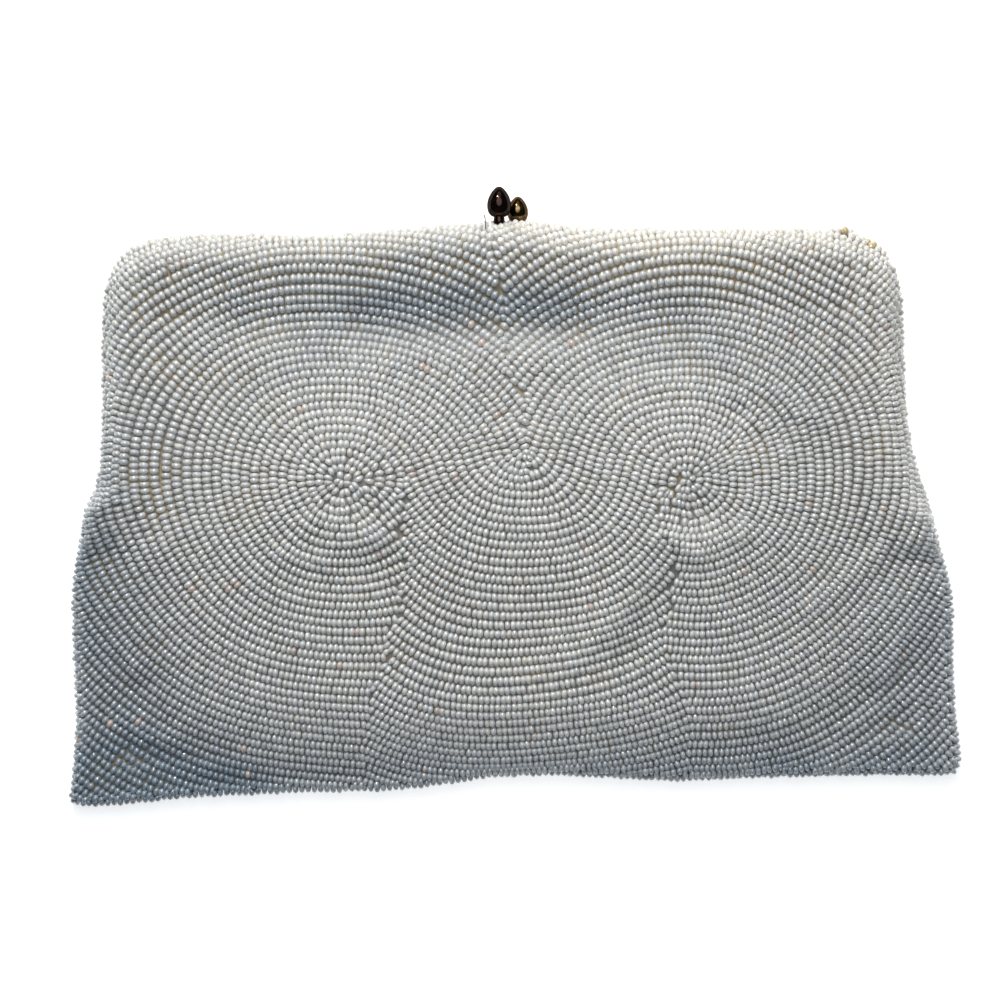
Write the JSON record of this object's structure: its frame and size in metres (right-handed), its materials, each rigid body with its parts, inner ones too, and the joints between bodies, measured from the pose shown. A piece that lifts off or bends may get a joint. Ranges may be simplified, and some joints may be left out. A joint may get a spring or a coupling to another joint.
{
  "type": "beaded clutch",
  "caption": "Flat evening clutch covered in off-white seed beads, on a concealed hinged frame with a kiss-lock clasp of egg-shaped knobs, closed and lying on its back.",
  "frame": {"origin": "middle of the purse's box, on the surface that it lies on", "axes": "+X across the purse to the right as seen from the front, +Y from the bottom seam to the clasp, +Z out of the front panel, which is upwards as it lies on its back"},
  "size_m": [0.206, 0.1435, 0.018],
  "materials": {
    "seed_beads": "opaque off-white glass with a pearl lustre, threaded in close rows",
    "backing_cloth": "thin woven cotton aged to ochre, with cotton thread",
    "frame_steel": "plain drawn wire, hidden in the hem",
    "dark_gilt": "polished, tarnished nearly black with brown reflections",
    "worn_gilt": "polished, golden olive where the tarnish is thinner"
  },
  "bodies": {
    "root": {"front_panel": "seed_beads", "back_panel": "seed_beads", "front_frame": "frame_steel", "back_frame": "frame_steel", "hinge_left": "frame_steel", "hinge_right": "frame_steel", "clasp_front": "dark_gilt", "clasp_back": "worn_gilt"}
  },
  "joints": []
}
